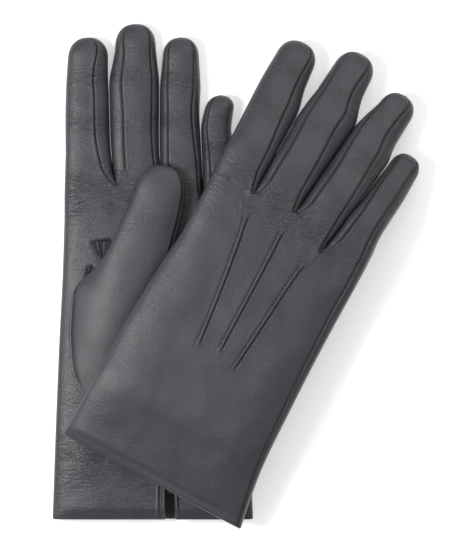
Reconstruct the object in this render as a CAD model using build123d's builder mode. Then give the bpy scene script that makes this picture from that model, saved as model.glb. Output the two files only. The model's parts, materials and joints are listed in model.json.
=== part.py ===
from build123d import *

# A pair of men's leather dress gloves, laid one across the other on a flat surface.
# The left glove lies palm up, and the right glove lies palm down across it.
# Each glove is a leather hand, four leather finger stalls with fourchettes between their panels,
# a leather thumb set into the palm, a knitted lining, a turned-in hem, bindings at the wrist vent,
# three raised points on the back, and rows of thread. Units are millimetres and degrees.

import math
import os
from dataclasses import dataclass

# Driving dimensions of one glove, a men's size 8 and a half.
GLOVE_HEIGHT = 12.0  # outside height of the relaxed hand and of each finger stall
THUMB_HEIGHT = 9.2  # outside height of the thumb, which is pressed flatter
LEATHER = 0.9  # thickness of the nappa leather
LINING = 0.7  # thickness of the knitted lining
LAYER_GAP = 0.05  # air between leather and lining
KNUCKLE_Y = 160.0  # where the hand divides into four finger stalls
CUFF_SLOPE_Y = 39.0  # where the hand's wrist section meets its palm section
EDGE_RADIUS = 2.5  # rounding of the long edges
HINGE_GAP = 0.15  # half of the gap between a finger stall and the hand
SEAM_PANEL_INSET = 3.0  # height of panel leather above and below each fourchette
THREAD = 0.5  # width of a sewn row
THREAD_DEPTH = 0.35  # how deep a sewn row lies in the leather
SEAM_EDGE = 3.0  # distance from a panel's side to its sewn row

HEM_DEPTH = 14.0
HEM_THICKNESS = 0.8
VENT_X = 9.0  # centre line of the wrist vent, on the palm
VENT_LENGTH = 52.0
VENT_MOUTH = 4.4
VENT_TIP = 2.0
BINDING_WIDTH = 4.0

POINT_WIDTH = 2.4
POINT_RISE = 0.6  # how far a point stands out, where nothing presses it flat
POINT_THREAD_GAP = 0.4  # from the side of a point to its sewn rows
POINT_LINES = [((-14.0, 146.0), (-8.5, 73.0)), ((6.0, 147.0), (2.8, 73.0)), ((23.0, 135.0), (13.0, 69.0))]

THUMB_BASE = (-25.0, 93.6)
THUMB_BASE_RADIUS = 15.5
THUMB_HOLE_RADIUS = 11.0
THUMB_WIDTH = 24.0
THUMB_LENGTH = 90.0
QUIRK_OUTLINE = [(-12.0, 30.0), (-12.0, 48.0), (-21.0, 44.0)]
QUIRK_HEIGHT = 5.0

# Where the two gloves lie. The left glove's back is flat on the surface.
STACK_GAP = 0.3
THUMB_LAYER = GLOVE_HEIGHT + STACK_GAP
PALM_GAP = 0.9  # the right palm is stiff enough to bridge the thumb below it
RIGHT_PALM_BASE = THUMB_LAYER + THUMB_HEIGHT + PALM_GAP
REACH = 90.0  # beyond half the width of any glove
OVERRUN = 2.0  # how far a cutting solid runs past an open end


@dataclass
class Finger:
    """One finger stall: where it hinges on the hand, the way it points, and its size."""

    name: str
    root: tuple  # x and y of the hinge's middle, in the glove's own plan
    yaw: float  # clockwise from the hand's long axis, seen from above
    droop: float  # how far it hangs below the hand's plane
    width: float
    length: float
    forks: tuple  # sides with a fourchette: -1 towards the index finger, +1 towards the little finger


@dataclass
class Glove:
    """One glove: its place, its outline at three stations and its fingers."""

    name: str
    place: tuple
    yaw: float
    palm_up: bool
    stations: list  # (y, x at the index side, x at the little finger side, height of the underside)
    thumb_yaw: float
    fingers: list

    @property
    def across(self):
        angle = math.radians(self.yaw)
        return Vector(math.cos(angle), -math.sin(angle), 0)

    @property
    def along(self):
        angle = math.radians(self.yaw)
        return Vector(math.sin(angle), math.cos(angle), 0)

    @property
    def plan(self):
        return Plane(origin=(*self.place, 0), x_dir=self.across, z_dir=(0, 0, 1))

    @property
    def profile(self):
        """A plane through the long axis: its x runs along the glove and its y is up."""
        return Plane(origin=(*self.place, 0), x_dir=self.along, z_dir=self.across)

    def underside(self, y):
        """Height of the hand's lower face at y."""
        (y0, _, _, z0), (y1, _, _, z1) = self.stations[:2]
        return z1 if y > y1 else z0 + (z1 - z0) * (y - y0) / (y1 - y0)

    def side(self, column, y):
        """x of the hand's side at y, read from one column of the stations."""
        lower = self.stations[0] if y < CUFF_SLOPE_Y else self.stations[1]
        upper = self.stations[1] if y < CUFF_SLOPE_Y else self.stations[2]
        share = (y - lower[0]) / (upper[0] - lower[0])
        return lower[column] + (upper[column] - lower[column]) * share

    def point(self, x, y, z):
        return Vector(*self.place, 0) + self.across * x + self.along * y + Vector(0, 0, z)


def hinge_point(glove, finger):
    """Middle of a finger's hinge, on the upper face of the hand."""
    return glove.point(*finger.root, glove.underside(KNUCKLE_Y) + GLOVE_HEIGHT)


def finger_plane(glove, finger):
    """x across the finger, y towards its tip, z out of its upper face."""
    yaw = math.radians(glove.yaw + finger.yaw)
    droop = math.radians(finger.droop)
    ahead = Vector(math.sin(yaw), math.cos(yaw), 0)
    normal = ahead * math.sin(droop) + Vector(0, 0, math.cos(droop))
    return Plane(origin=hinge_point(glove, finger), x_dir=(math.cos(yaw), -math.sin(yaw), 0), z_dir=normal)


def stub_plane(glove, finger, ahead_of_hinge):
    """A plane across the level stub that a finger hinges on, facing back into the hand."""
    yaw = math.radians(glove.yaw + finger.yaw)
    ahead = Vector(math.sin(yaw), math.cos(yaw), 0)
    origin = hinge_point(glove, finger) + ahead * ahead_of_hinge - Vector(0, 0, GLOVE_HEIGHT / 2)
    return Plane(origin=origin, x_dir=(math.cos(yaw), -math.sin(yaw), 0), z_dir=-ahead)


def thumb_plane(glove):
    """x across the thumb, y towards its tip, z up, on the thumb's lower face."""
    yaw = math.radians(glove.yaw + glove.thumb_yaw)
    return Plane(
        origin=glove.point(*THUMB_BASE, THUMB_LAYER),
        x_dir=(math.cos(yaw), -math.sin(yaw), 0),
        z_dir=(0, 0, 1),
    )


def band(glove, low, high, outline):
    """The slice of a glove's hand between two heights above its underside, within a plan outline."""
    stops = [-HEM_DEPTH, CUFF_SLOPE_Y, KNUCKLE_Y + REACH]
    lower = [(y, glove.underside(y) + low) for y in stops]
    upper = [(y, glove.underside(y) + high) for y in reversed(stops)]
    with BuildPart() as piece:
        with BuildSketch(glove.profile):
            with BuildLine():
                Polyline(*lower, *upper, close=True)
            make_face()
        extrude(amount=REACH, both=True)
        with BuildSketch(glove.plan):
            with BuildLine():
                Polyline(*outline, close=True)
            make_face()
        extrude(amount=REACH, mode=Mode.INTERSECT)
    return piece.part


def hand_outline(glove, inset, start, end):
    """Plan outline of the hand from start to end, taken in by inset at both sides."""
    stops = [y for y in (start, CUFF_SLOPE_Y, end) if start <= y <= end]
    index_side = [(glove.side(1, y) + inset, y) for y in stops]
    little_side = [(glove.side(2, y) - inset, y) for y in reversed(stops)]
    return index_side + little_side


def finger_clearance(glove, finger):
    """The space that a finger stall needs beyond the hand."""
    plane = finger_plane(glove, finger)
    with BuildPart() as space:
        with BuildSketch(plane.offset(-GLOVE_HEIGHT - OVERRUN)):
            with Locations((0, KNUCKLE_Y / 2 - HINGE_GAP)):
                Rectangle(finger.width + 4 * HINGE_GAP, KNUCKLE_Y)
        extrude(amount=GLOVE_HEIGHT + 2 * OVERRUN)
    return space.part


def hand_solid(glove, inset, start):
    """The hand and its four stubs, taken in by inset. The leather is folded round the index side, so it's rounded there.

    start is where the hand begins, at or before the cuff.
    """
    outline = hand_outline(glove, inset, start, KNUCKLE_Y - inset)
    with BuildPart() as solid:
        add(band(glove, inset, GLOVE_HEIGHT - inset, outline))
        if inset == 0:
            long_edges = solid.edges().filter_by(lambda e: abs(e.tangent_at(0.5).dot(glove.along)) > 0.9)
            folded = long_edges.filter_by(lambda e: glove.across.dot(e.center() - glove.point(0, 0, 0)) < 0)
            fillet(folded, radius=EDGE_RADIUS)
        for finger in glove.fingers:
            ahead = OVERRUN if inset else 0
            with BuildSketch(stub_plane(glove, finger, ahead)):
                Rectangle(finger.width - 2 * inset, GLOVE_HEIGHT - 2 * inset)
            extrude(amount=ahead + finger.root[1] - KNUCKLE_Y + EDGE_RADIUS)
    return solid.part


def palm_half(glove, outline):
    """The half of the hand's height that holds the palm, within an outline."""
    middle = GLOVE_HEIGHT / 2
    if glove.palm_up:
        return band(glove, middle, GLOVE_HEIGHT + OVERRUN, outline)
    return band(glove, -OVERRUN, middle, outline)


def vent_notch(glove):
    """The slit of the wrist vent, which widens towards the cuff."""
    mouth, tip = VENT_MOUTH / 2, VENT_TIP / 2
    outline = [
        (VENT_X - mouth, -OVERRUN),
        (VENT_X + mouth, -OVERRUN),
        (VENT_X + mouth, 0),
        (VENT_X + tip, VENT_LENGTH),
        (VENT_X - tip, VENT_LENGTH),
        (VENT_X - mouth, 0),
    ]
    return palm_half(glove, outline)


def vent_binding_blank(glove, side):
    """One leather strip along the vent, as thick as the palm leather that it edges."""
    mouth, tip = side * VENT_MOUTH / 2, side * VENT_TIP / 2
    wide = side * BINDING_WIDTH
    outline = [
        (VENT_X + mouth, 0),
        (VENT_X + mouth + wide, 0),
        (VENT_X + tip + wide, VENT_LENGTH),
        (VENT_X + tip, VENT_LENGTH),
    ]
    low = GLOVE_HEIGHT - LEATHER if glove.palm_up else 0
    return band(glove, low, low + LEATHER, outline)


def thumb_opening(glove):
    """The round opening in the palm that leads into the thumb."""
    depth = GLOVE_HEIGHT / 2
    low = glove.underside(KNUCKLE_Y) + (depth if glove.palm_up else -OVERRUN)
    with BuildPart() as opening:
        with BuildSketch(glove.plan.offset(low)):
            with Locations(THUMB_BASE):
                Circle(THUMB_HOLE_RADIUS)
        extrude(amount=depth + OVERRUN)
    return opening.part


def hollow_hand(glove, outer_inset, inner_inset, start):
    """A layer of the hand between two insets, open at the cuff, at the fingers, at the vent and at the thumb."""
    with BuildPart() as layer:
        add(hand_solid(glove, outer_inset, start))
        add(hand_solid(glove, inner_inset, start - OVERRUN), mode=Mode.SUBTRACT)
        add(vent_notch(glove), mode=Mode.SUBTRACT)
        add(thumb_opening(glove), mode=Mode.SUBTRACT)
        for finger in glove.fingers:
            add(finger_clearance(glove, finger), mode=Mode.SUBTRACT)
    return layer.part


def hand_shell(glove):
    """The leather of the hand, with room for what is let into it."""
    with BuildPart() as shell:
        add(hollow_hand(glove, 0, LEATHER, 0))
        for inlay in (vent_bindings, back_points, point_stitches, side_seam):
            add(inlay(glove), mode=Mode.SUBTRACT)
    return shell.part


def hand_lining(glove):
    outer = LEATHER + LAYER_GAP
    return hollow_hand(glove, outer, outer + LINING, HEM_DEPTH + LAYER_GAP)


def cuff_hem(glove):
    """The leather turned in at the cuff, a ring inside the hand."""
    outer = LEATHER
    inner = outer + HEM_THICKNESS
    outside = hand_outline(glove, outer, 0, HEM_DEPTH)
    inside = hand_outline(glove, inner, -OVERRUN, HEM_DEPTH + OVERRUN)
    with BuildPart() as hem:
        add(band(glove, outer, GLOVE_HEIGHT - outer, outside))
        add(band(glove, inner, GLOVE_HEIGHT - inner, inside), mode=Mode.SUBTRACT)
        add(vent_notch(glove), mode=Mode.SUBTRACT)
    return hem.part


def vent_bindings(glove):
    with BuildPart() as bindings:
        for side in (-1, 1):
            add(vent_binding_blank(glove, side))
    return bindings.part


def strip_outline(start, end, offset, width):
    """Plan outline of a straight strip beside the line from start to end."""
    direction = (Vector(*end) - Vector(*start)).normalized()
    sideways = Vector(-direction.Y, direction.X)
    corners = [
        Vector(*start) + sideways * (offset - width / 2),
        Vector(*end) + sideways * (offset - width / 2),
        Vector(*end) + sideways * (offset + width / 2),
        Vector(*start) + sideways * (offset + width / 2),
    ]
    return [(corner.X, corner.Y) for corner in corners]


def on_back(glove, depth, rise, outline):
    """A strip let into the back of the hand by depth. It stands out by rise, unless the back is what it lies on."""
    if glove.palm_up:
        return band(glove, 0, depth, outline)
    return band(glove, GLOVE_HEIGHT - depth, GLOVE_HEIGHT + rise, outline)


def back_points(glove):
    """Three raised tucks sewn into the back."""
    with BuildPart() as points:
        for start, end in POINT_LINES:
            add(on_back(glove, LEATHER, POINT_RISE, strip_outline(start, end, 0, POINT_WIDTH)))
    return points.part


def point_stitches(glove):
    """A sewn row along each side of each point."""
    offset = POINT_WIDTH / 2 + POINT_THREAD_GAP
    with BuildPart() as rows:
        for start, end in POINT_LINES:
            for side in (-1, 1):
                add(on_back(glove, THREAD_DEPTH, 0, strip_outline(start, end, side * offset, THREAD)))
    return rows.part


def side_seam(glove):
    """The sewn row that closes the hand at the little finger side, on its back."""
    with BuildPart() as row:
        for low, high in ((OVERRUN, CUFF_SLOPE_Y), (CUFF_SLOPE_Y, KNUCKLE_Y)):
            start = (glove.side(2, low) - SEAM_EDGE, low)
            end = (glove.side(2, high) - SEAM_EDGE, high)
            add(on_back(glove, THREAD_DEPTH, 0, strip_outline(start, end, 0, THREAD)))
    return row.part


def stall_solid(plane, finger, inset, root):
    """A finger stall's outer or inner form: parallel sides, a blunt round tip and rounded edges."""
    half = finger.width / 2 - inset
    tip = finger.length - inset
    shoulder = finger.length - 0.42 * finger.width
    with BuildPart() as stall:
        with BuildSketch(plane.offset(inset - GLOVE_HEIGHT)):
            with BuildLine():
                Polyline((-half, shoulder), (-half, root), (half, root), (half, shoulder))
                ThreePointArc((-half, shoulder), (0, tip), (half, shoulder))
            make_face()
        extrude(amount=GLOVE_HEIGHT - 2 * inset)
        if inset == 0:
            for face in stall.faces().filter_by(lambda f: abs(f.normal_at().dot(plane.z_dir)) > 0.9):
                rim = face.edges().sort_by(Axis(plane.origin, plane.y_dir))[1:]
                fillet(rim, radius=EDGE_RADIUS)
    return stall.part


def hollow_stall(plane, finger, outer_inset, inner_inset):
    """A layer of a finger stall, open at its root."""
    with BuildPart() as layer:
        add(stall_solid(plane, finger, outer_inset, HINGE_GAP))
        add(stall_solid(plane, finger, inner_inset, -OVERRUN), mode=Mode.SUBTRACT)
    return layer.part


def fourchette_blank(plane, finger, side):
    """The block of space that one fourchette fills in a finger's side wall."""
    end = finger.length - 0.45 * finger.width
    with BuildPart() as blank:
        with BuildSketch(plane.offset(SEAM_PANEL_INSET - GLOVE_HEIGHT)):
            with Locations((side * (finger.width - LEATHER) / 2, end / 2)):
                Rectangle(LEATHER, end)
        extrude(amount=GLOVE_HEIGHT - 2 * SEAM_PANEL_INSET)
    return blank.part


def finger_panels(glove, finger):
    """The leather of a finger's back and palm, which meets round the tip."""
    plane = finger_plane(glove, finger)
    with BuildPart() as panels:
        add(hollow_stall(plane, finger, 0, LEATHER))
        for side in finger.forks:
            add(fourchette_blank(plane, finger, side), mode=Mode.SUBTRACT)
        add(finger_seams(glove, finger), mode=Mode.SUBTRACT)
    return panels.part


def finger_fourchettes(glove, finger):
    """The side strips of a finger, one for each neighbour."""
    plane = finger_plane(glove, finger)
    with BuildPart() as strips:
        for side in finger.forks:
            add(fourchette_blank(plane, finger, side))
        add(hollow_stall(plane, finger, 0, LEATHER), mode=Mode.INTERSECT)
    return strips.part


def finger_lining(glove, finger):
    outer = LEATHER + LAYER_GAP
    return hollow_stall(finger_plane(glove, finger), finger, outer, outer + LINING)


def finger_seams(glove, finger):
    """The sewn rows along a finger's panels, on both faces beside each fourchette."""
    plane = finger_plane(glove, finger)
    length = finger.length - finger.width / 2
    sides = set(finger.forks) | ({1} if finger.name == "little" else set())
    with BuildPart() as rows:
        for side in sides:
            for height in (-THREAD_DEPTH, -GLOVE_HEIGHT):
                with BuildSketch(plane.offset(height)):
                    with Locations((side * (finger.width / 2 - SEAM_EDGE), length / 2 + 1)):
                        Rectangle(THREAD, length - 2)
                extrude(amount=THREAD_DEPTH)
    return rows.part


def thumb_solid(glove, inset):
    """The thumb's outer or inner form: a round base and a straight stall."""
    half = THUMB_WIDTH / 2 - inset
    shoulder = THUMB_LENGTH - THUMB_WIDTH / 2
    plane = thumb_plane(glove)
    with BuildPart() as thumb:
        with BuildSketch(plane.offset(inset)):
            Circle(THUMB_BASE_RADIUS - inset)
            with BuildLine():
                Polyline((-half, shoulder), (-half, 0), (half, 0), (half, shoulder))
                ThreePointArc((-half, shoulder), (0, THUMB_LENGTH - inset), (half, shoulder))
            make_face()
        extrude(amount=THUMB_HEIGHT - 2 * inset)
        if inset == 0:
            rims = thumb.faces().filter_by(Axis.Z).edges()
            fillet(rims, radius=EDGE_RADIUS)
    return thumb.part


def thumb_mouth(glove):
    """The opening in the thumb's base that faces the palm."""
    low = -OVERRUN if glove.palm_up else THUMB_HEIGHT / 2
    with BuildPart() as mouth:
        with BuildSketch(thumb_plane(glove).offset(low)):
            Circle(THUMB_HOLE_RADIUS)
        extrude(amount=THUMB_HEIGHT / 2 + OVERRUN)
    return mouth.part


def hollow_thumb(glove, outer_inset, inner_inset):
    with BuildPart() as layer:
        add(thumb_solid(glove, outer_inset))
        add(thumb_solid(glove, inner_inset), mode=Mode.SUBTRACT)
        add(thumb_mouth(glove), mode=Mode.SUBTRACT)
    return layer.part


def thumb_shell(glove):
    with BuildPart() as shell:
        add(hollow_thumb(glove, 0, LEATHER))
        add(thumb_seam(glove), mode=Mode.SUBTRACT)
    return shell.part


def thumb_lining(glove):
    outer = LEATHER + LAYER_GAP
    return hollow_thumb(glove, outer, outer + LINING)


def thumb_quirk(glove):
    """The small leather gusset between the thumb and the palm."""
    low = 0 if glove.palm_up else THUMB_HEIGHT - QUIRK_HEIGHT
    with BuildPart() as quirk:
        with BuildSketch(thumb_plane(glove).offset(low)):
            with BuildLine():
                Polyline(*QUIRK_OUTLINE, close=True)
            make_face()
        extrude(amount=QUIRK_HEIGHT)
        add(thumb_solid(glove, 0), mode=Mode.SUBTRACT)
    return quirk.part


def thumb_seam(glove):
    """The sewn row along the thumb's outer side."""
    height = THUMB_HEIGHT - THREAD_DEPTH if glove.palm_up else 0
    start, end = THUMB_BASE_RADIUS, THUMB_LENGTH - THUMB_WIDTH / 2
    with BuildPart() as row:
        with BuildSketch(thumb_plane(glove).offset(height)):
            with Locations((THUMB_WIDTH / 2 - SEAM_EDGE, (start + end) / 2)):
                Rectangle(THREAD, end - start)
        extrude(amount=THREAD_DEPTH)
    return row.part


LEFT_GLOVE = Glove(
    name="left",
    place=(-43.55, -125.51),
    yaw=0.0,
    palm_up=True,
    stations=[
        (0, -52.0, 52.0, 0.0),
        (CUFF_SLOPE_Y, -49.5, 50.0, 0.0),
        (KNUCKLE_Y, -46.0, 44.5, 0.0),
    ],
    thumb_yaw=21.0,
    fingers=[
        Finger("index", (-33.5, 184.0), 0.0, 0.0, 23.5, 64.0, (1,)),
        Finger("middle", (-9.0, 184.0), 0.0, 0.0, 23.5, 71.0, (-1, 1)),
        Finger("ring", (14.5, 184.0), 0.0, 0.0, 21.0, 64.0, (-1, 1)),
        Finger("little", (35.3, 170.0), 0.0, 0.0, 18.0, 48.0, (-1,)),
    ],
)

RIGHT_GLOVE = Glove(
    name="right",
    place=(-44.05, -107.31),
    yaw=25.0,
    palm_up=False,
    stations=[
        (0, -52.0, 52.0, THUMB_LAYER),
        (CUFF_SLOPE_Y, -48.0, 49.5, RIGHT_PALM_BASE),
        (KNUCKLE_Y, -39.0, 54.5, RIGHT_PALM_BASE),
    ],
    thumb_yaw=25.0,
    fingers=[
        Finger("index", (-26.0, 180.0), 1.5, 19.0, 23.5, 64.0, (1,)),
        Finger("middle", (0.0, 180.0), 5.0, 17.0, 23.5, 71.0, (-1, 1)),
        Finger("ring", (24.4, 178.0), 10.5, 19.0, 21.0, 64.0, (-1, 1)),
        Finger("little", (45.0, 168.0), 8.5, 25.0, 18.0, 48.0, (-1,)),
    ],
)


def glove_parts(glove):
    """Every piece of one glove, by node name."""
    parts = {
        "hand_shell": hand_shell(glove),
        "hand_lining": hand_lining(glove),
        "cuff_hem": cuff_hem(glove),
        "vent_bindings": vent_bindings(glove),
        "back_points": back_points(glove),
        "point_stitches": point_stitches(glove),
        "side_seam": side_seam(glove),
        "thumb_shell": thumb_shell(glove),
        "thumb_lining": thumb_lining(glove),
        "thumb_quirk": thumb_quirk(glove),
        "thumb_seam": thumb_seam(glove),
    }
    for finger in glove.fingers:
        parts[f"{finger.name}_panels"] = finger_panels(glove, finger)
        parts[f"{finger.name}_fourchettes"] = finger_fourchettes(glove, finger)
        parts[f"{finger.name}_lining"] = finger_lining(glove, finger)
        parts[f"{finger.name}_seams"] = finger_seams(glove, finger)
    return {f"{glove.name}_{name}": part for name, part in parts.items()}


os.makedirs("parts", exist_ok=True)
for pair_member in (LEFT_GLOVE, RIGHT_GLOVE):
    for node, part in glove_parts(pair_member).items():
        part.label = node
        export_step(part, f"parts/{node}.step")
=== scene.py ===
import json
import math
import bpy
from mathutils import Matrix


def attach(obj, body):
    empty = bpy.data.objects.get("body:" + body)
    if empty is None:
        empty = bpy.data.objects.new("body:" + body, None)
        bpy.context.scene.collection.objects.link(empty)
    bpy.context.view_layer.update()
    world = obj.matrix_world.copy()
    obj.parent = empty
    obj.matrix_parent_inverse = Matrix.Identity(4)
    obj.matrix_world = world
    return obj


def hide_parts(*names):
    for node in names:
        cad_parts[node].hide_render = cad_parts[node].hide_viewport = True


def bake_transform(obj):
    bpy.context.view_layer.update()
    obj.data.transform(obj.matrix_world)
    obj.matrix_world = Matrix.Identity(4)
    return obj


bl_info = {
    "name": "Dress Glove Maker",
    "version": (1, 0, 0),
    "blender": (4, 5, 0),
    "location": "View3D > Sidebar > Gloves",
    "description": "Makes a pair of lined leather dress gloves with fourchettes, points and a wrist vent",
    "category": "Mesh",
}

import bmesh
import bpy
import numpy as np
from bpy.props import EnumProperty, FloatProperty, FloatVectorProperty, PointerProperty
from mathutils import Matrix, Vector, noise

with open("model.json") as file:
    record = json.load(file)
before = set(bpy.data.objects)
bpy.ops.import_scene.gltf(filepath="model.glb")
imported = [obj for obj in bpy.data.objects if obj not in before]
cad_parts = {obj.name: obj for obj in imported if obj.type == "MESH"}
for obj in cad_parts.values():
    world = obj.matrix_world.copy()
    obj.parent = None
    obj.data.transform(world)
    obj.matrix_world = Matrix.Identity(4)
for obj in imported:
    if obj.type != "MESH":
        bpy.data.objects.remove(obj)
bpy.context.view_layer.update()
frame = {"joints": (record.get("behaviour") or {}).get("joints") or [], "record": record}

# Sizes inside this file are in millimetres until a mesh is filled, as a glover would state them.
MM = 0.001
HAND_HALF = 6.0  # half of the outside height of the relaxed hand and fingers
HEM_EDGE = 0.9  # radius of the rolled edge at the cuff
BEND_HALF = 10.0  # a finger bends over this much on each side of its hinge
WRIST = 39.0  # distance from the cuff at which the palm has reached its height
LINING_START = 13.6  # where the lining begins, behind the turned-in leather
LINING_INSET = 1.5  # the middle of the lining below the outside of the leather
PLAIN_STRIP = 8.0  # width of the columns at a side that has no seam
SEAM_SPREAD = 0.8  # half width of the dark line along a seam: partly the dark joint, partly painted shade
MERGE = 2e-6  # points closer than this, in metres, are one point
SIDE_ITEMS = (
    ("left", "Left", "The glove that lies palm up"),
    ("right", "Right", "The glove that lies palm down"),
)


def smoothstep(low, high, value):
    t = np.clip((value - low) / (high - low), 0.0, 1.0)
    return t * t * (3 - 2 * t)


def smooth_line(stops, at):
    """A smooth curve through (position, value) stops, read at the given positions."""
    xs, vs = np.array(stops, float).T
    slopes = np.gradient(vs, xs)
    at = np.asarray(at, float)
    i = np.clip(np.searchsorted(xs, at) - 1, 0, len(xs) - 2)
    step = xs[i + 1] - xs[i]
    t = np.clip((at - xs[i]) / step, 0.0, 1.0)
    rise = vs[i] * (1 + 2 * t) * (1 - t) ** 2 + vs[i + 1] * t * t * (3 - 2 * t)
    return rise + step * (slopes[i] * t * (1 - t) ** 2 - slopes[i + 1] * t * t * (1 - t))


def evenly(values, share):
    """Reads a short row of evenly spaced values at a share of its length from 0 to 1."""
    return smooth_line(list(zip(np.linspace(0, 1, len(values)), values)), share)


def soft_noise(points, scale, seed):
    """Smooth noise from -1 to 1 at an array of points in millimetres."""
    flat = points.reshape(-1, 3) / scale + seed
    return np.array([noise.noise(p) for p in flat]).reshape(points.shape[:-1])


class Finger:
    """A finger stall in the plan of its glove, with the place of its seams."""

    def __init__(self, glove, name, width, length, droop, touch, seams):
        joint = next(j for j in frame["joints"] if j["name"] == f"{glove.side}_{name}_flex")
        self.name = name
        self.hinge = Vector(joint["pos_m"]) / MM
        self.across = Vector(joint["axis"])
        self.ahead = Vector((-self.across.y, self.across.x, 0))
        self.root = glove.to_plan(self.hinge)
        self.plan_across = (self.across.dot(glove.across), self.across.dot(glove.along))
        self.plan_ahead = (self.ahead.dot(glove.across), self.ahead.dot(glove.along))
        self.width = width
        self.length = length
        self.droop = math.radians(droop)
        self.touch = touch  # how far beyond the hinge each side still leans on its neighbour
        self.seams = seams  # distance of the seams from the index side and the little side, from root to tip

    def bend(self, s, height):
        """Where points s beyond the hinge, at a height above the stall's middle, end up: ahead and up."""
        step, before = 0.25, 20.0
        path = np.arange(-before, self.length + 2, step)
        angle = self.droop * smoothstep(-BEND_HALF, BEND_HALF, path)
        level = np.cumsum(np.cos(angle)) * step
        drop = np.cumsum(np.sin(angle)) * step
        level -= level[0] + before
        drop -= drop[0]
        a = np.interp(s, path, angle)
        depth = HAND_HALF - height
        ahead = np.interp(s, path, level) - depth * np.sin(a)
        return ahead, -np.interp(s, path, drop) - depth * np.cos(a)


class Glove:
    """The plan of one glove: the lines of its sides, of its valleys between fingers and of its seams."""

    def __init__(self, side, sides, valleys, crotches, fingers, cut_back, cuff_line):
        mount = next(m for m in frame["record"]["mounts"] if m["name"] == f"{side}_cuff_opening")
        self.side = side
        self.palm_up = side == "left"
        self.along = -Vector(mount["axis"])
        self.across = Vector((self.along.y, -self.along.x, 0))
        self.cuff = Vector(mount["pos_m"]) / MM
        self.cut_back = cut_back  # distance before a hinge at which the hand's leather becomes the finger's
        self.cuff_line = cuff_line  # offset and slope of the cuff's edge
        self.crotches = crotches
        self.lines = [sides[0], *valleys, sides[1]]
        self.fingers = [Finger(self, *spec) for spec in fingers]
        # How much higher the palm lies than the cuff.
        self.rise = self.fingers[0].hinge.z - HAND_HALF - self.cuff.z

    def to_plan(self, point):
        offset = point - self.cuff
        return offset.dot(self.across), offset.dot(self.along)

    def line(self, k, y):
        return smooth_line(self.lines[k], y)

    def middle_height(self, y):
        """Height above the surface of the middle of the glove's thickness, smooth over the wrist."""
        t = np.clip(y / WRIST, 0.0, 1.2)
        eased = np.where(t < 0.8, t, t - np.maximum(t - 0.8, 0) ** 2 / 0.8)
        return self.cuff.z + self.rise * eased

    def world(self, x, y, height):
        """Points of the hand in metres, from its plan and the height above the middle."""
        z = self.middle_height(y) + height
        y = y + (self.cuff_line[0] + self.cuff_line[1] * x) * (1 - smoothstep(0.0, 60.0, y))
        px = self.cuff.x + self.across.x * x + self.along.x * y
        py = self.cuff.y + self.across.y * x + self.along.y * y
        return np.stack([px, py, z], -1) * MM

    def fade(self, k, y):
        """How deep the valley on line k is at y, from 0 to 1. The two outer lines are always deep."""
        if k in (0, 4):
            return np.ones_like(y)
        crotch = self.crotches[k - 1][1]
        return smoothstep(crotch - 1.5, crotch + 6.5, y)

    def half_height(self, i, x, y, face):
        """Distance of the leather from the middle, over finger column i. face is 1 for the upper side."""
        low, high = self.line(i, y), self.line(i + 1, y)
        narrow = (high - low) / 2
        hand = 1 - smoothstep(92.0, self.cut(i) - 4.0, y)  # 1 over the palm, 0 where the fingers part
        wide = narrow + (23.0 - narrow) * hand
        height = HAND_HALF - (2.6 if face > 0 else 0.5) * (1 - smoothstep(0.0, 8.0, y)) ** 2
        sunk = np.zeros_like(x)
        for side, away in ((0, x - low), (1, high - x)):
            outer = i + side in (0, 4)
            u = np.clip(1 - away / (wide if outer else narrow), 0.0, 1.0)
            power = 3.2 - 0.8 * hand if outer else 3.2 + 1.4 * (1 - smoothstep(-8.0, 0.0, y - self.cut(i)))
            sunk = sunk + self.fade(i + side, y) * (1 - (1 - u**power) ** (1 / power))
        return height * (1 - sunk)

    def cut(self, i):
        return self.fingers[i].root[1] - self.cut_back

    def height_at(self, x, y, face):
        """Height of the leather at any place of the hand."""
        x, y = np.broadcast_arrays(np.asarray(x, float), np.asarray(y, float))
        out = np.zeros_like(x)
        for i in range(4):
            within = (x >= self.line(i, y)) & (x <= self.line(i + 1, y))
            out = np.where(within, self.half_height(i, x, y, face), out)
        return out

    def ripple(self, x, y, face):
        """Low waves and creases of worn-in leather, in millimetres."""
        if face < 0 and self.palm_up:
            return np.zeros_like(x)
        points = np.stack([x, y, np.full_like(x, 40.0 * face)], -1)
        seed = 3.1 if self.palm_up else 11.7
        waves = 0.75 * soft_noise(points, 30.0, seed) + 0.2 * soft_noise(points, 10.0, seed + 5)
        return waves * smoothstep(0.0, 6.0, y)


def bell(distance, width):
    """A soft hump or band: 1 at no distance, falling off over the width."""
    return np.exp(-((distance / width) ** 2))


def seam_relief(distance):
    """Relief of a lapped seam: a lifted edge on the panel, a narrow groove and a lower strip beyond."""
    edge = 0.24 * bell(distance - 1.0, 0.8) - 0.22 * (0.5 - 0.5 * np.tanh(distance / 0.35))
    return edge - seam_settings().groove_depth / MM * bell(distance, 0.42)


def seam_settings():
    return bpy.context.scene.glove_seams


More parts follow.
